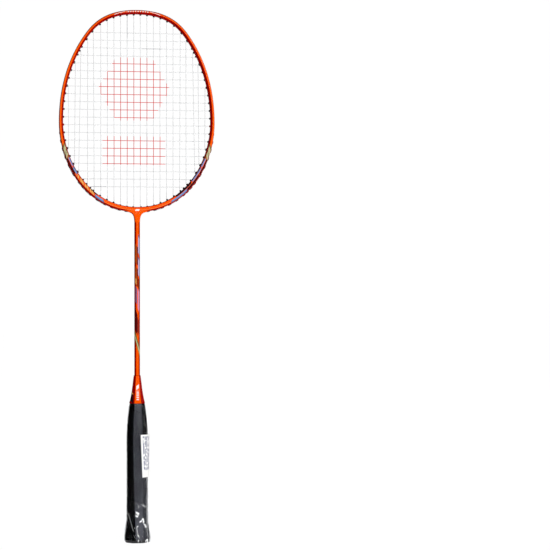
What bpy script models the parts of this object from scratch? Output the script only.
"""A badminton racket: strung carbon head, shaft, cone cap and octagonal handle, in metres.

+Z runs from the butt to the crown of the head, the string bed lies in the XZ plane, and the origin is the
centre of the butt's flat end. Pieces that would touch keep a gap of about 0.3 mm.
"""

import math

import bmesh
import bpy
from mathutils import Vector

MM = 0.001
GAP = 0.32 * MM

# ---- driving dimensions -------------------------------------------------------------------------
OVERALL_LENGTH = 675 * MM
HEAD_HALF_WIDTH = 98.8 * MM
CROWN_TO_WIDEST = 142 * MM
HEAD_LENGTH = 256 * MM

# The lower quarter's Bezier handles, as shares of its height and width.
LOWER_SIDE_REACH, BASE_REACH = 0.457, 0.662

# The upper quarter turns most at its shoulder: that point, its direction and the reach of the four handles.
SHOULDER_X, CROWN_TO_SHOULDER = 63.4 * MM, 32 * MM
SHOULDER_DIRECTION = math.radians(125.3)
SIDE_HANDLE, BELOW_SHOULDER_HANDLE = 54 * MM, 26.1 * MM
ABOVE_SHOULDER_HANDLE, CROWN_HANDLE = 19.8 * MM, 35.2 * MM

# The hoop's section: radial half widths at the base and above the height where it is slimmest, and half its
# depth along Y.
CROWN_HALF_WIDTH, BASE_HALF_WIDTH = 2.5 * MM, 3.2 * MM
SLIMMING_HEIGHT = 130 * MM
HOOP_HALF_DEPTH = 5.2 * MM
HOOP_WALL = 0.9 * MM
GROOVE_HALF_MOUTH, GROOVE_HALF_FLOOR = 2.5 * MM, 2.1 * MM
CROWN_GROOVE_DEPTH, BASE_GROOVE_DEPTH = 1.8 * MM, 1.0 * MM
HOOP_STATIONS = 60

MAIN_COUNT, MAIN_SPACING = 22, 8.36 * MM
CROSS_COUNT, CROSS_SPACING = 21, 9.75 * MM
CROWN_TO_TOP_CROSS = 29.1 * MM
STRING_RADIUS = 0.35 * MM
STRING_LAYER = 0.5 * MM  # mains lie this far on +Y, crosses on -Y

GROMMET_BASE = 0.5 * MM
GROMMET_HALF_BASE = 1.6 * MM
GROMMET_TIP = 1.5 * MM
GROMMET_WALL = 0.4 * MM
GROMMET_OVERHANG = 0.45 * MM  # of the base strip beyond its end barrels
LONG_GROMMET = 11 * MM  # a strip longer than this gets one more station
HOLE_CLEARANCE = 0.42 * MM
SINGLE_BORE, SHARED_BORE = 0.8 * MM, 1.35 * MM
SHARED_REACH = 5.4 * MM
HEX, STRING_SIDES = 6, 5
STRING_TURN = 0.5 * MM  # the corner at a hole's mouth
LOOP_STEP = 9 * MM  # the straights of an outer loop

# The hoop's neck, as half widths along X and Y at heights above the shaft's end.
NECK_LENGTH = 13 * MM
NECK_PROFILE = (
    (0, 3.6, 3.6),
    (4, 3.9, 4.1),
    (8, 4.8, 4.7),
    (10.5, 6.1, 5.0),
    (12.6, 8.7, 5.1),
    (14.9, 11.5, 4.9),
)
NECK_SLOT_START, NECK_SLOT_END = 4.2 * MM, 16 * MM
NECK_SLOT_HALF_WIDTH, NECK_SLOT_LIFT = 1.93 * MM, 0.12 * MM
THROAT_TILT = math.radians(14)
SPIGOT_RADIUS, SPIGOT_LENGTH, SPIGOT_SIDES = 2.15 * MM, 34 * MM, 10
SPIGOT_HEAD = (2.4 * MM, 2.6 * MM, 1.2 * MM)  # half widths of its flared head along X, Y and Z

SHAFT_RADIUS, SHAFT_BORE = 3.55 * MM, 2.5 * MM
SHAFT_FOOT_Z = 98 * MM

# The cone cap's octagon as height and half width in millimetres. Its base is a little flatter along Y.
CONE_PROFILE = ((176.5, 9.8), (184.5, 8.3), (191.5, 7.3), (198.5, 6.35), (205.5, 5.3), (211.5, 4.4))
CONE_WALL = 1.2 * MM
CONE_BASE_FLATNESS = 0.91
CONE_CUT = (0.08, 0.24)  # of the corners, as a share of the half width at the foot and at the top

# The wooden core's octagon: half widths along X, along Y and across the bevels.
CORE_HALF_X, CORE_HALF_Y, CORE_HALF_BEVEL = 10.9 * MM, 9.7 * MM, 10.7 * MM
HANDLE_TOP_Z, TAPER_Z, TOP_SHARE = 176.1 * MM, 132 * MM, 0.66
FLARE_Z, FLARE_PEAK_Z, FLARE_WIDTH = 30 * MM, 7 * MM, 2.3 * MM
GRIP_THICKNESS = 1.8 * MM
FILM_THICKNESS, LABEL_THICKNESS = 0.25 * MM, 0.2 * MM
FILM_FOOT_Z, FILM_TOP_Z = 1.6 * MM, 174.6 * MM
CORNER_CUT = 1.4 * MM
LABEL_Z = (83 * MM, 137 * MM)
LABEL_SPAN = (4.7 * MM, 25 * MM)  # along the section from the middle of the front facet towards +X
BUTT_CAP_THICKNESS, BUTT_RIM = 3 * MM, 1.1 * MM
BUTT_PLUG_DEPTH, BUTT_PLUG_RADIUS = 9 * MM, 5.5 * MM
ROUND = 16

CROWN_Z = OVERALL_LENGTH
BASE_Z = CROWN_Z - HEAD_LENGTH
WIDEST_Z = CROWN_Z - CROWN_TO_WIDEST
SHAFT_TOP_Z = BASE_Z - NECK_LENGTH


# ---- small helpers ------------------------------------------------------------------------------
def clear_scene():
    for obj in list(bpy.data.objects):
        bpy.data.objects.remove(obj, do_unlink=True)


def material(name, colour, roughness, metallic=0.0):
    made = bpy.data.materials.new(name)
    made.use_nodes = True
    shader = made.node_tree.nodes["Principled BSDF"]
    shader.inputs["Base Color"].default_value = (*colour, 1.0)
    shader.inputs["Roughness"].default_value = roughness
    shader.inputs["Metallic"].default_value = metallic
    return made


def add_object(name, mesh, finish=None):
    obj = bpy.data.objects.new(name, mesh)
    bpy.context.scene.collection.objects.link(obj)
    if finish:
        mesh.materials.append(finish)
    return obj


def helper(obj):
    """Marks a cutter or a joining piece, which isn't a part of the racket."""
    obj.hide_render = True
    obj.display_type = "WIRE"
    return obj


def boolean(obj, other, operation):
    modifier = obj.modifiers.new(other.name, "BOOLEAN")
    modifier.operation = operation
    modifier.object = other


def mesh_of(bm, name, smooth_degrees=35):
    bmesh.ops.recalc_face_normals(bm, faces=bm.faces)
    mesh = bpy.data.meshes.new(name)
    bm.to_mesh(mesh)
    bm.free()
    mesh.shade_smooth()
    mesh.set_sharp_from_angle(angle=math.radians(smooth_degrees))
    return mesh


def bridge(bm, first, second):
    count = len(first)
    for i in range(count):
        j = (i + 1) % count
        bm.faces.new((first[i], first[j], second[j], second[i]))


def loft(bm, rings, closed=False):
    """Skins rings of points. Open lofts get a flat cap on each end, closed ones meet themselves."""
    loops = [[bm.verts.new(point) for point in ring] for ring in rings]
    for first, second in zip(loops, loops[1:]):
        bridge(bm, first, second)
    if closed:
        bridge(bm, loops[-1], loops[0])
    else:
        bm.faces.new(loops[0])
        bm.faces.new(loops[-1])


def tube_loft(bm, outer_rings, inner_rings):
    """Skins a wall between two stacks of rings that run from the same end to the same end."""
    outer = [[bm.verts.new(point) for point in ring] for ring in outer_rings]
    inner = [[bm.verts.new(point) for point in ring] for ring in inner_rings]
    for stack in (outer, inner):
        for first, second in zip(stack, stack[1:]):
            bridge(bm, first, second)
    bridge(bm, outer[0], inner[0])
    bridge(bm, outer[-1], inner[-1])


def smoothstep(value):
    value = min(1.0, max(0.0, value))
    return value * value * (3 - 2 * value)


def blend(low, high, share):
    return low + (high - low) * share


# ---- the hoop's egg-shaped centreline -----------------------------------------------------------
def bezier(points, t):
    a, b, c, d = points
    s = 1 - t
    return s * s * s * a + 3 * s * s * t * b + 3 * s * t * t * c + t * t * t * d


def half_width(z):
    return blend(BASE_HALF_WIDTH, CROWN_HALF_WIDTH, smoothstep((z - BASE_Z) / SLIMMING_HEIGHT))


def half_egg():
    """Three Beziers up the +X side, from the base over the widest point and the shoulder to the crown."""
    width = HEAD_HALF_WIDTH - half_width(WIDEST_Z)
    base, crown = BASE_Z + BASE_HALF_WIDTH, CROWN_Z - CROWN_HALF_WIDTH
    below = WIDEST_Z - base
    shoulder = Vector((SHOULDER_X, 0, CROWN_Z - CROWN_TO_SHOULDER))
    onward = Vector((math.cos(SHOULDER_DIRECTION), 0, math.sin(SHOULDER_DIRECTION)))
    lower = (
        Vector((0, 0, base)),
        Vector((width * BASE_REACH, 0, base)),
        Vector((width, 0, WIDEST_Z - below * LOWER_SIDE_REACH)),
        Vector((width, 0, WIDEST_Z)),
    )
    side = (
        Vector((width, 0, WIDEST_Z)),
        Vector((width, 0, WIDEST_Z + SIDE_HANDLE)),
        shoulder - onward * BELOW_SHOULDER_HANDLE,
        shoulder,
    )
    top = (
        shoulder,
        shoulder + onward * ABOVE_SHOULDER_HANDLE,
        Vector((CROWN_HANDLE, 0, crown)),
        Vector((0, 0, crown)),
    )
    return lower, side, top


class Centreline:
    """The hoop's centreline by distance: 0 at the base, up the +X side, over the crown and back down."""

    SAMPLES = 400

    def __init__(self):
        right = []
        for piece in half_egg():
            right += [bezier(piece, i / self.SAMPLES) for i in range(self.SAMPLES)]
        right.append(Vector((0, 0, CROWN_Z - CROWN_HALF_WIDTH)))
        left = [Vector((-p.x, 0, p.z)) for p in reversed(right[1:-1])]
        self.points = right + left
        self.distances = [0.0]
        for a, b in zip(self.points, self.points[1:] + self.points[:1]):
            self.distances.append(self.distances[-1] + (b - a).length)
        self.length = self.distances[-1]

    def at(self, distance):
        """The point and the outward normal at a distance along the hoop."""
        distance %= self.length
        low, high = 0, len(self.points)
        while high - low > 1:
            middle = (low + high) // 2
            if self.distances[middle] <= distance:
                low = middle
            else:
                high = middle
        a, b = self.points[low], self.points[(low + 1) % len(self.points)]
        share = (distance - self.distances[low]) / (self.distances[low + 1] - self.distances[low])
        tangent = (b - a).normalized()
        return a.lerp(b, share), Vector((tangent.z, 0, -tangent.x))

    def offset(self, distance, outward, y=0.0):
        point, normal = self.at(distance)
        return point + normal * outward + Vector((0, y, 0))

    def crossings(self, axis, value, inward):
        """Distances at which the line axis = value meets the hoop offset inwards by inward(z)."""
        count = 2400
        found = []
        spots = []
        for i in range(count + 1):
            distance = self.length * i / count
            point, normal = self.at(distance)
            spots.append((distance, (point - normal * inward(point.z))[axis] - value))
        for (d0, v0), (d1, v1) in zip(spots, spots[1:]):
            if v0 == 0 or v0 * v1 < 0:
                found.append(d0 + (d1 - d0) * v0 / (v0 - v1))
        return found


def groove_depth(z):
    return blend(BASE_GROOVE_DEPTH, CROWN_GROOVE_DEPTH, smoothstep((z - 480 * MM) / (60 * MM)))


def groove_floor(z):
    return half_width(z) - groove_depth(z)


def base_level(z):
    """Where the grommet's base starts, outwards from the centreline."""
    return groove_floor(z) + GAP


def string_level(z):
    return base_level(z) + GROMMET_BASE + GAP + STRING_RADIUS


def tip_level(z):
    return half_width(z) + GROMMET_TIP


def bend_level(z):
    """How far inside the centreline a string turns from its hole's axis to its own line."""
    return tip_level(z) + STRING_RADIUS + GAP


# ---- string holes -------------------------------------------------------------------------------
class Hole:
    """A string hole through the hoop, at a distance along it. tilt leans its outer end along the hoop."""

    def __init__(self, distance, families, shared=False, tilt=0.0):
        self.distance = distance
        self.families = families
        self.shared = shared
        self.tilt = tilt

    @property
    def y(self):
        if self.shared:
            return 0.0
        return STRING_LAYER if self.families[0] == "main" else -STRING_LAYER

    @property
    def bore(self):
        return SHARED_BORE if self.shared else SINGLE_BORE

    def frame(self):
        """A point on the hole's axis at the centreline, its outward direction, and its other two axes."""
        point, normal = CENTRELINE.at(self.distance)
        along = Vector((-normal.z, 0, normal.x))
        outward = normal * math.cos(self.tilt) + along * math.sin(self.tilt)
        depth = Vector((0, 1, 0))
        return point + depth * self.y, outward, depth, outward.cross(depth)

    def spot(self, level, y):
        """A point on the axis, level out from the centreline, in the string layer y."""
        point, outward, _, _ = self.frame()
        return Vector((point.x, y, point.z)) + outward * (level / math.cos(self.tilt))

    def prism(self, bm, radius, low, high, sides=HEX):
        """Adds a prism about the axis between two levels."""
        point, outward, depth, side = self.frame()
        rings = []
        for level in (low, high):
            centre = point + outward * (level / math.cos(self.tilt))
            angles = [2 * math.pi * i / sides for i in range(sides)]
            rings.append(
                [centre + (depth * math.cos(a) + side * math.sin(a)) * radius for a in angles]
            )
        loft(bm, rings)


def line_holes():
    """The two holes of each string: mains[i] is (top, bottom) and crosses[j] is (right, left)."""
    mains, crosses = [], []
    for i in range(MAIN_COUNT):
        x = (i - (MAIN_COUNT - 1) / 2) * MAIN_SPACING
        ends = CENTRELINE.crossings(0, x, bend_level)
        ends.sort(key=lambda d: -CENTRELINE.at(d)[0].z)
        mains.append([Hole(d, ["main"]) for d in (ends[0], ends[-1])])
    for j in range(CROSS_COUNT):
        z = CROWN_Z - CROWN_TO_TOP_CROSS - (CROSS_COUNT - 1 - j) * CROSS_SPACING
        ends = CENTRELINE.crossings(2, z, bend_level)
        ends.sort(key=lambda d: -CENTRELINE.at(d)[0].x)
        crosses.append([Hole(d, ["cross"]) for d in (ends[0], ends[-1])])
    # The two middle mains leave beside the neck, so their holes lean away from it.
    for i, side in ((MAIN_COUNT // 2 - 1, -1), (MAIN_COUNT // 2, 1)):
        hole = mains[i][1]
        hole.tilt = side * THROAT_TILT
        hole.distance += math.tan(hole.tilt) * bend_level(BASE_Z)
    return mains, crosses


def between(first, second):
    gap = abs(first.distance - second.distance)
    return min(gap, CENTRELINE.length - gap)


def share_close_holes(mains, crosses):
    """A main and a cross that end close together use one larger hole."""
    for pair in mains:
        for m, hole in enumerate(pair):
            near = [
                (between(hole, cross[c]), cross, c)
                for cross in crosses
                for c in (0, 1)
                if not cross[c].shared
            ]
            gap, cross, c = min(near, key=lambda item: item[0])
            if gap < SHARED_REACH:
                normal = CENTRELINE.at(hole.distance)[1]
                kept = cross[c] if abs(normal.x) > abs(normal.z) else hole
                pair[m] = cross[c] = Hole(kept.distance, ["main", "cross"], shared=True)


CENTRELINE = Centreline()


# ---- head ---------------------------------------------------------------------------------------
def hoop_rings(section):
    """Rings of the hoop: section(z) gives (outward, y) pairs."""
    rings = []
    for i in range(HOOP_STATIONS):
        distance = CENTRELINE.length * i / HOOP_STATIONS
        z = CENTRELINE.at(distance)[0].z
        rings.append([CENTRELINE.offset(distance, u, y) for u, y in section(z)])
    return rings


def hoop_section(z):
    """The hoop's outside: a grooved outer wall, a crest on each face and a flat inner wall."""
    w, h = half_width(z), HOOP_HALF_DEPTH
    half = [
        (groove_floor(z), GROOVE_HALF_FLOOR),
        (w, GROOVE_HALF_MOUTH),
        (w * 0.88, h * 0.72),
        (w * 0.5, h * 0.96),
        (-w * 0.15, h),
        (-w * 0.7, h * 0.84),
        (-w, h * 0.45),
    ]
    return half + [(u, -y) for u, y in reversed(half)]


def cavity_section(z):
    outer, inner = groove_floor(z) - HOOP_WALL, -half_width(z) + HOOP_WALL
    middle, depth = (outer + inner) / 2, HOOP_HALF_DEPTH - 1.3 * HOOP_WALL
    half = [(outer, depth * 0.6), (middle, depth), (inner, depth * 0.5)]
    return half + [(u, -y) for u, y in reversed(half)]


def ellipse(z, half_x, half_y, sides=ROUND):
    angles = [2 * math.pi * i / sides for i in range(sides)]
    return [Vector((half_x * math.cos(a), half_y * math.sin(a), z)) for a in angles]


def cylinder(name, radius, low, high, sides=ROUND):
    bm = bmesh.new()
    loft(bm, [ellipse(z, radius, radius, sides) for z in (low, high)])
    return helper(add_object(name, mesh_of(bm, name)))


def channel(bm, start, end, steps, section):
    """Sweeps a section along the hoop between two distances, with a cap on each end."""
    rings = []
    for i in range(steps + 1):
        distance = blend(start, end, i / steps)
        z = CENTRELINE.at(distance)[0].z
        rings.append([CENTRELINE.offset(distance, u, y) for u, y in section(z)])
    loft(bm, rings)


def slot_section(z):
    """The groove's room where the neck crosses it."""
    low, high = groove_floor(z) + NECK_SLOT_LIFT, string_level(z) + STRING_RADIUS + GAP
    half = NECK_SLOT_HALF_WIDTH
    return [(low, half), (high, half), (high, -half), (low, -half)]


def make_head_frame(holes, paint):
    bm = bmesh.new()
    loft(bm, hoop_rings(hoop_section), closed=True)
    frame = add_object("head_frame", mesh_of(bm, "head_frame"), paint)

    bm = bmesh.new()
    loft(bm, [ellipse(SHAFT_TOP_Z + GAP + up * MM, x * MM, y * MM) for up, x, y in NECK_PROFILE])
    boolean(frame, helper(add_object("neck", mesh_of(bm, "neck"))), "UNION")

    bm = bmesh.new()
    for sign in (1, -1):
        channel(bm, sign * NECK_SLOT_START, sign * NECK_SLOT_END, 4, slot_section)
    boolean(frame, helper(add_object("neck_slots", mesh_of(bm, "neck_slots"))), "DIFFERENCE")

    # The bore opens the neck into the hoop's hollow.
    bm = bmesh.new()
    loft(bm, hoop_rings(cavity_section), closed=True)
    hollow = helper(add_object("hollow", mesh_of(bm, "hollow")))
    top = BASE_Z + BASE_HALF_WIDTH
    bore = cylinder("spigot_bore", SPIGOT_RADIUS + GAP, SHAFT_TOP_Z - MM, top, SPIGOT_SIDES)
    boolean(hollow, bore, "UNION")
    boolean(frame, hollow, "DIFFERENCE")

    bm = bmesh.new()
    for hole in holes:
        reach = tip_level(hole.frame()[0].z)
        hole.prism(bm, hole.bore + GROMMET_WALL + HOLE_CLEARANCE, -reach, reach)
    boolean(frame, helper(add_object("string_holes", mesh_of(bm, "string_holes"))), "DIFFERENCE")
    return frame


def make_throat_core(finish):
    """The spigot that joins the neck to the shaft, with a flared head in the hoop's hollow."""
    bm = bmesh.new()
    top = BASE_Z + BASE_HALF_WIDTH
    foot = SHAFT_TOP_Z - SPIGOT_LENGTH
    loft(bm, [ellipse(z, SPIGOT_RADIUS, SPIGOT_RADIUS, SPIGOT_SIDES) for z in (foot, top)])
    core = add_object("throat_core", mesh_of(bm, "throat_core"), finish)
    half_x, half_y, half_z = SPIGOT_HEAD
    bm = bmesh.new()
    corners = [(half_x, half_y), (-half_x, half_y), (-half_x, -half_y), (half_x, -half_y)]
    middle = top + 0.5 * MM
    loft(bm, [[Vector((x, y, middle + dz)) for x, y in corners] for dz in (-half_z, half_z)])
    boolean(core, helper(add_object("spigot_head", mesh_of(bm, "spigot_head"))), "UNION")
    return core


# ---- grommets -----------------------------------------------------------------------------------
def base_section(z):
    low, high = base_level(z), base_level(z) + GROMMET_BASE
    half = GROMMET_HALF_BASE
    return [(low, half), (high, half), (high, -half), (low, -half)]


def make_grommet_pair(name, pair, plastic):
    """Two barrels on one base strip, with a bore for each string."""
    ends = []
    for hole, side in zip(pair, (-1, 1)):
        seat = hole.distance + math.tan(hole.tilt) * base_level(hole.frame()[0].z)
        ends.append(seat + side * (hole.bore + GROMMET_WALL + GROMMET_OVERHANG))
    bm = bmesh.new()
    channel(bm, *ends, 3 if ends[1] - ends[0] > LONG_GROMMET else 2, base_section)
    grommet = add_object(name, mesh_of(bm, name), plastic)

    barrels, bores = bmesh.new(), bmesh.new()
    for hole in pair:
        z = hole.frame()[0].z
        low, high = -tip_level(z), base_level(z) + GROMMET_BASE * 0.6
        hole.prism(barrels, hole.bore + GROMMET_WALL, low, high)
        hole.prism(bores, hole.bore, low - MM, high + MM)
    boolean(grommet, helper(add_object(name + "_barrels", mesh_of(barrels, "barrels"))), "UNION")
    boolean(grommet, helper(add_object(name + "_bores", mesh_of(bores, "bores"))), "DIFFERENCE")
    return grommet


# ---- strings ------------------------------------------------------------------------------------
def tube_along(name, points, finish):
    """A thin tube through points in one plane of constant Y, mitred at every turn."""
    bm = bmesh.new()
    rings = []
    depth = Vector((0, 1, 0))
    for i, point in enumerate(points):
        before = (point - points[max(i - 1, 0)]).normalized()
        after = (points[min(i + 1, len(points) - 1)] - point).normalized()
        tangent = (before + after).normalized()
        side = tangent.cross(depth) / max(0.5, tangent.dot(after or before))
        angles = [2 * math.pi * k / STRING_SIDES for k in range(STRING_SIDES)]
        rings.append(
            [point + (depth * math.cos(a) + side * math.sin(a)) * STRING_RADIUS for a in angles]
        )
    loft(bm, rings)
    return add_object(name, mesh_of(bm, name, 60), finish)


def loop_points(first, second, y):
    """From one string's bend, out through its hole, along the groove and in through the next hole."""
    points = []
    for hole, other in ((first, second), (second, first)):
        here, outward, _, _ = hole.frame()
        z = here.z
        toward = CENTRELINE.at(other.distance)[0] - CENTRELINE.at(hole.distance)[0]
        forward = CENTRELINE.at(hole.distance + MM)[0] - CENTRELINE.at(hole.distance)[0]
        seat = hole.distance + math.tan(hole.tilt) * string_level(z)
        step = math.copysign(STRING_TURN, toward.dot(forward))
        leg = [
            hole.spot(-bend_level(z), y),
            hole.spot(string_level(z), y) - outward * STRING_TURN,
            CENTRELINE.offset(seat + step, string_level(z), y),
        ]
        points.append((leg, seat))
    (leg_a, seat_a), (leg_b, seat_b) = points
    reach = seat_b - seat_a
    if abs(reach) > CENTRELINE.length / 2:
        reach -= math.copysign(CENTRELINE.length, reach)
    count = max(1, round(abs(reach) / LOOP_STEP))
    middle = []
    for k in range(1, count):
        distance = seat_a + reach * k / count
        middle.append(CENTRELINE.offset(distance, string_level(CENTRELINE.at(distance)[0].z), y))
    return leg_a + middle + leg_b[::-1]


def string_path(pairs, y):
    """Runs through every pair of holes in turn, to and fro."""
    points = []
    first = pairs[0][0]
    z = first.frame()[0].z
    points.append(first.spot(string_level(z) - STRING_RADIUS, y))
    points.append(first.spot(-bend_level(z), y))
    side = 1
    for current, following in zip(pairs, pairs[1:]):
        points += loop_points(current[side], following[side], y)
        side = 1 - side
    last = pairs[-1][side]
    z = last.frame()[0].z
    points.append(last.spot(-bend_level(z), y))
    points.append(last.spot(string_level(z) - STRING_RADIUS, y))
    return points


# ---- shaft, cone and handle -----------------------------------------------------------------------
def make_shaft(paint):
    bm = bmesh.new()
    ends = (SHAFT_FOOT_Z, SHAFT_TOP_Z)
    outer, inner = ([ellipse(z, radius, radius) for z in ends] for radius in (SHAFT_RADIUS, SHAFT_BORE))
    tube_loft(bm, outer, inner)
    return add_object("shaft", mesh_of(bm, "shaft"), paint)


def octagon_corners(z, reaches):
    """The corners of an octagon whose sides lie at these distances from the axis, the first along +X."""
    corners = []
    for k in range(8):
        a, b = math.pi * k / 4, math.pi * (k + 1) / 4
        ra, rb = reaches[k], reaches[(k + 1) % 8]
        spread = math.sin(b - a)
        x = (ra * math.sin(b) - rb * math.sin(a)) / spread
        y = (rb * math.cos(a) - ra * math.cos(b)) / spread
        corners.append(Vector((x, y, z)))
    return corners


def cut_corners(corners, cut):
    """Replaces each corner by a short bevel."""
    points = []
    for k, corner in enumerate(corners):
        before, after = corners[k - 1], corners[(k + 1) % 8]
        points.append(corner + (before - corner).normalized() * cut)
        points.append(corner + (after - corner).normalized() * cut)
    return points


def make_cone_cap(paint):
    """Carries the handle's octagon down in size to the round shaft."""
    bm = bmesh.new()
    low, high = CONE_PROFILE[0][0], CONE_PROFILE[-1][0]
    outer, inner = [], []
    for height, half in CONE_PROFILE:
        share = (height - low) / (high - low)
        flat = blend(CONE_BASE_FLATNESS, 1, share)
        half_x, half_y = half * MM, half * flat * MM
        bevel = (half_x + half_y) / 2
        corners = octagon_corners(height * MM, (half_x, bevel, half_y, bevel) * 2)
        outer.append(cut_corners(corners, blend(*CONE_CUT, share) * half_x))
        hollow = max(half_y - CONE_WALL, SHAFT_RADIUS + GAP)
        inner.append(ellipse(height * MM, hollow, hollow))
    tube_loft(bm, outer, inner)
    return add_object("cone_cap", mesh_of(bm, "cone_cap"), paint)


def taper_share(z):
    """The handle's section as a share of its full size, which narrows towards the cone."""
    share = min(1.0, max(0.0, (z - TAPER_Z) / (HANDLE_TOP_Z - TAPER_Z)))
    return 1 - (1 - TOP_SHARE) * share**1.8


def flare(z):
    return FLARE_WIDTH * smoothstep((FLARE_Z - z) / (FLARE_Z - FLARE_PEAK_Z))


def handle_section(z, offset):
    """The handle's octagon grown by offset, with its corners cut."""
    share = taper_share(z)
    grow = offset + flare(z)
    halves = (CORE_HALF_X, CORE_HALF_BEVEL, CORE_HALF_Y, CORE_HALF_BEVEL) * 2
    return cut_corners(octagon_corners(z, [half * share + grow for half in halves]), CORNER_CUT)


def handle_heights(low, high):
    marks = [FLARE_PEAK_Z, 15 * MM, 22 * MM, FLARE_Z, TAPER_Z, 145 * MM, 156 * MM, 165 * MM]
    return [low] + [z for z in marks if low + MM < z < high - MM] + [high]


def sleeve(name, low, high, inner, outer, finish):
    bm = bmesh.new()
    heights = handle_heights(low, high)
    tube_loft(
        bm,
        [handle_section(z, outer) for z in heights],
        [handle_section(z, inner) for z in heights],
    )
    return add_object(name, mesh_of(bm, name), finish)


def make_handle_core(wood):
    bm = bmesh.new()
    foot = BUTT_CAP_THICKNESS + GAP
    loft(bm, [handle_section(z, 0.0) for z in handle_heights(foot, HANDLE_TOP_Z)])
    core = add_object("handle_core", mesh_of(bm, "handle_core"), wood)
    shaft_hole = cylinder("shaft_hole", SHAFT_RADIUS + GAP, SHAFT_FOOT_Z - GAP, HANDLE_TOP_Z + MM)
    boolean(core, shaft_hole, "DIFFERENCE")
    plug_top = BUTT_CAP_THICKNESS + BUTT_PLUG_DEPTH + GAP
    boolean(core, cylinder("plug_hole", BUTT_PLUG_RADIUS + GAP, 0.0, plug_top), "DIFFERENCE")
    return core


def make_butt_cap(plastic):
    """The flat end of the handle, with a rounded rim and a plug that fits the core."""
    bm = bmesh.new()
    wide = GAP + GRIP_THICKNESS
    levels = ((0.0, wide - BUTT_RIM), (BUTT_RIM, wide), (BUTT_CAP_THICKNESS, wide))
    loft(bm, [handle_section(z, offset) for z, offset in levels])
    cap = add_object("butt_cap", mesh_of(bm, "butt_cap"), plastic)
    plug = cylinder("plug", BUTT_PLUG_RADIUS, BUTT_CAP_THICKNESS / 2, BUTT_CAP_THICKNESS + BUTT_PLUG_DEPTH)
    boolean(cap, plug, "UNION")
    return cap


def outline_span(ring, start, end):
    """The points of a closed outline from start to end, measured from its crossing of x = 0 on -Y."""
    count = len(ring)
    front_right = [i for i in range(count) if ring[i].y < 0 and ring[i].x > 0]
    first = min(front_right, key=lambda i: ring[i].x)
    order = [ring[(first + i) % count] for i in range(count)]
    walk = [Vector((0, order[0].y, order[0].z))] + order
    points, distance = [], 0.0
    for a, b in zip(walk, walk[1:]):
        length = (b - a).length
        for mark in (start, end):
            if distance <= mark < distance + length:
                points.append(a.lerp(b, (mark - distance) / length))
        if start < distance + length < end:
            points.append(b)
        distance += length
    return points


def make_label(paper):
    inner = GAP + GRIP_THICKNESS + GAP + FILM_THICKNESS + GAP
    bm = bmesh.new()
    rings = []
    for z in LABEL_Z:
        inside = outline_span(handle_section(z, inner), *LABEL_SPAN)
        outside = outline_span(handle_section(z, inner + LABEL_THICKNESS), *LABEL_SPAN)
        rings.append(inside + outside[::-1])
    loft(bm, rings)
    return add_object("paper_label", mesh_of(bm, "paper_label"), paper)


# ---- the racket ---------------------------------------------------------------------------------
def build():
    clear_scene()
    hoop_paint = material("gloss orange hoop", (0.9, 0.13, 0.01), 0.22)
    shaft_paint = material("gloss orange shaft", (0.9, 0.12, 0.01), 0.22)
    cone_paint = material("gloss orange cone", (0.88, 0.1, 0.01), 0.25)
    mains, crosses = line_holes()
    share_close_holes(mains, crosses)
    holes = sorted({hole for pair in mains + crosses for hole in pair}, key=lambda h: h.distance)

    make_head_frame(holes, hoop_paint)
    make_throat_core(material("carbon throat core", (0.03, 0.03, 0.035), 0.5))
    for k in range(0, len(holes), 2):
        plastic = material(f"black grommet {k // 2 + 1}", (0.02, 0.02, 0.022), 0.4)
        make_grommet_pair(f"grommet_pair_{k // 2 + 1:02d}", holes[k : k + 2], plastic)

    mains_path = string_path([pair[::-1] for pair in mains], STRING_LAYER)
    tube_along("main_string", mains_path, material("white main string", (0.85, 0.86, 0.88), 0.35))
    cross_path = string_path(crosses, -STRING_LAYER)
    tube_along("cross_string", cross_path, material("white cross string", (0.85, 0.86, 0.88), 0.35))

    make_shaft(shaft_paint)
    make_cone_cap(cone_paint)
    make_handle_core(material("ash wood", (0.6, 0.42, 0.25), 0.6))
    make_butt_cap(material("black butt cap", (0.015, 0.015, 0.017), 0.45))
    wrap = (GAP, GAP + GRIP_THICKNESS)
    leather = material("black grip", (0.02, 0.02, 0.022), 0.7)
    sleeve("grip_wrap", BUTT_CAP_THICKNESS + GAP, HANDLE_TOP_Z, *wrap, leather)
    film = (wrap[1] + GAP, wrap[1] + GAP + FILM_THICKNESS)
    clear = material("clear film", (0.8, 0.82, 0.85), 0.08)
    sleeve("film_sleeve", FILM_FOOT_Z, FILM_TOP_Z, *film, clear)
    make_label(material("white label", (0.85, 0.85, 0.84), 0.6))


build()
